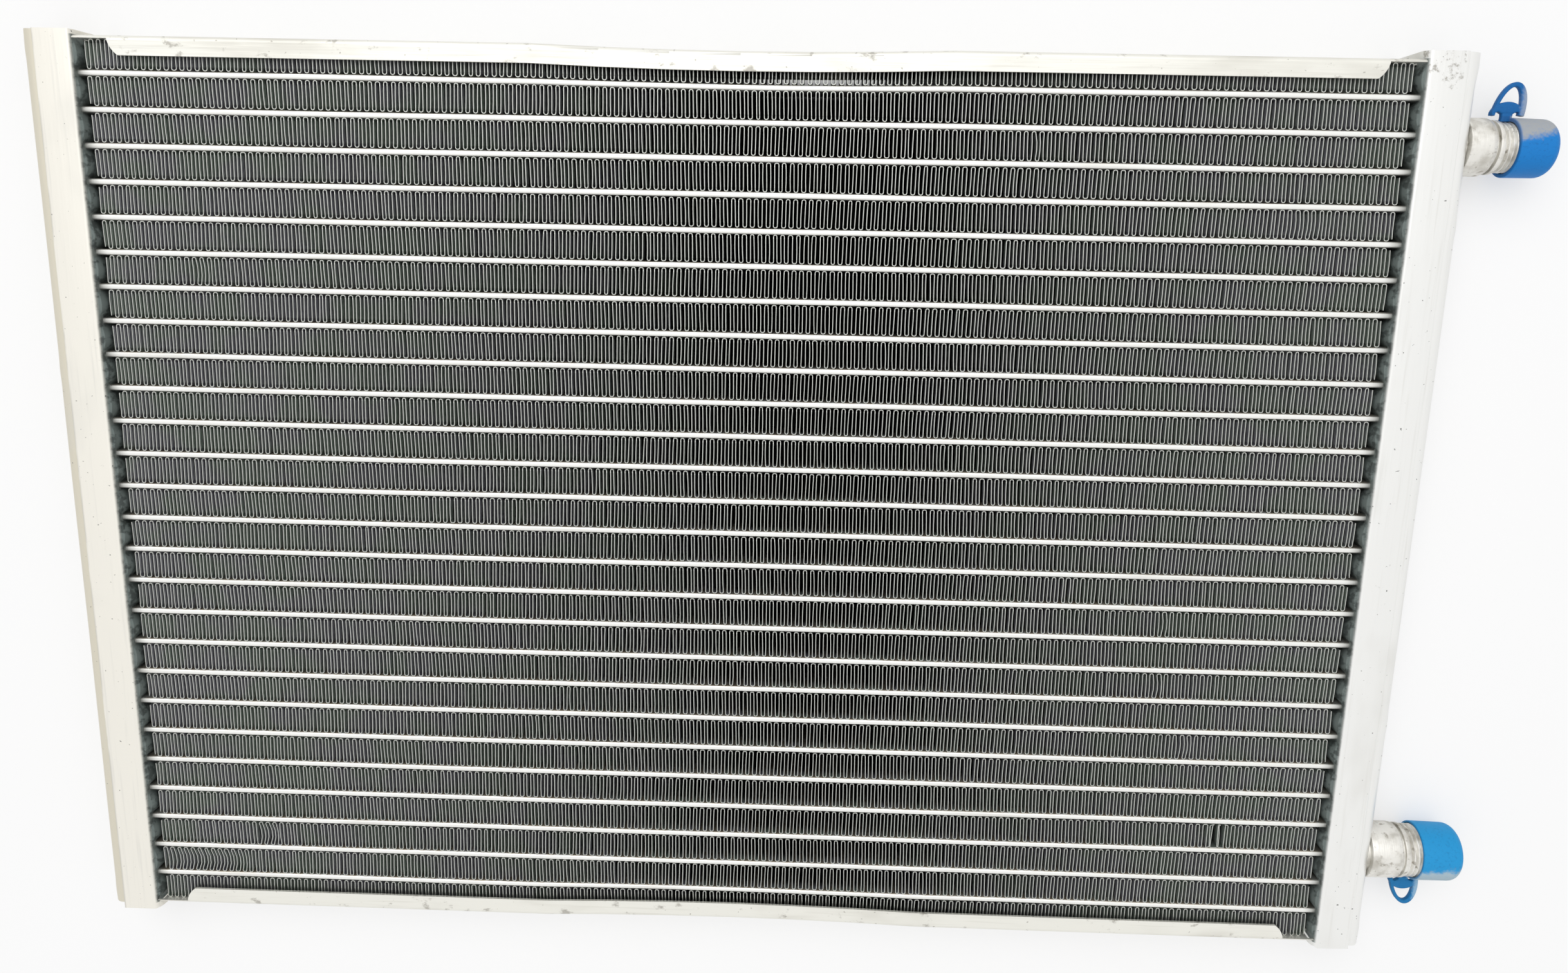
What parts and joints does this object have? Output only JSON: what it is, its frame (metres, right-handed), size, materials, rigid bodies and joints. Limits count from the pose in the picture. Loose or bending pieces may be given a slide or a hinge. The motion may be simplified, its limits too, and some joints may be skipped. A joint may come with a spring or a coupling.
{
  "type": "air conditioning condenser",
  "caption": "Flat brazed aluminium condenser: thin tubes and folded fins between two box headers, with threaded ports under blue plastic caps, for cooling refrigerant in an air stream.",
  "frame": {"origin": "middle of the bounding box, caps included, in the plane of the headers' backs that it rests on", "axes": "+X along the tubes towards the ports, +Y across the tubes towards the small port, +Z out of the front face"},
  "size_m": [0.4986, 0.313, 0.0212],
  "materials": {
    "tube_metal": "satin, flux-stained",
    "fin_metal": "satin",
    "header_metal": "matt, lightly stained",
    "side_plate_metal": "matt, dented",
    "port_metal": "machined, dull",
    "cap_plastic": "soft, dirt-rubbed"
  },
  "bodies": {
    "root": {"tubes_01_02": "tube_metal", "tubes_03_04": "tube_metal", "tubes_05_06": "tube_metal", "tubes_07_08": "tube_metal", "tubes_09_10": "tube_metal", "tubes_11_12": "tube_metal", "tubes_13_14": "tube_metal", "tubes_15_16": "tube_metal", "tubes_17_18": "tube_metal", "tubes_19_20": "tube_metal", "tubes_21_22": "tube_metal", "tubes_23_24": "tube_metal", "tubes_25_26": "tube_metal", "fin_01": "fin_metal", "fin_02": "fin_metal", "fin_03": "fin_metal", "fin_04": "fin_metal", "fin_05": "fin_metal", "fin_06": "fin_metal", "fin_07": "fin_metal", "fin_08": "fin_metal", "fin_09": "fin_metal", "fin_10": "fin_metal", "fin_11": "fin_metal", "fin_12": "fin_metal", "fin_13": "fin_metal", "fin_14": "fin_metal", "fin_15": "fin_metal", "fin_16": "fin_metal", "fin_17": "fin_metal", "fin_18": "fin_metal", "fin_19": "fin_metal", "fin_20": "fin_metal", "fin_21": "fin_metal", "fin_22": "fin_metal", "fin_23": "fin_metal", "fin_24": "fin_metal", "fin_25": "fin_metal", "fin_26": "fin_metal", "fin_27": "fin_metal", "header_plate_left": "header_metal", "header_plate_right": "header_metal", "header_tank_left": "header_metal", "header_tank_right": "header_metal", "header_end_plugs": "header_metal", "header_baffles": "header_metal", "side_plate_top": "side_plate_metal", "side_plate_bottom": "side_plate_metal", "inlet_port": "port_metal", "outlet_port": "port_metal", "inlet_cap": "cap_plastic", "outlet_cap": "cap_plastic"}
  },
  "joints": []
}
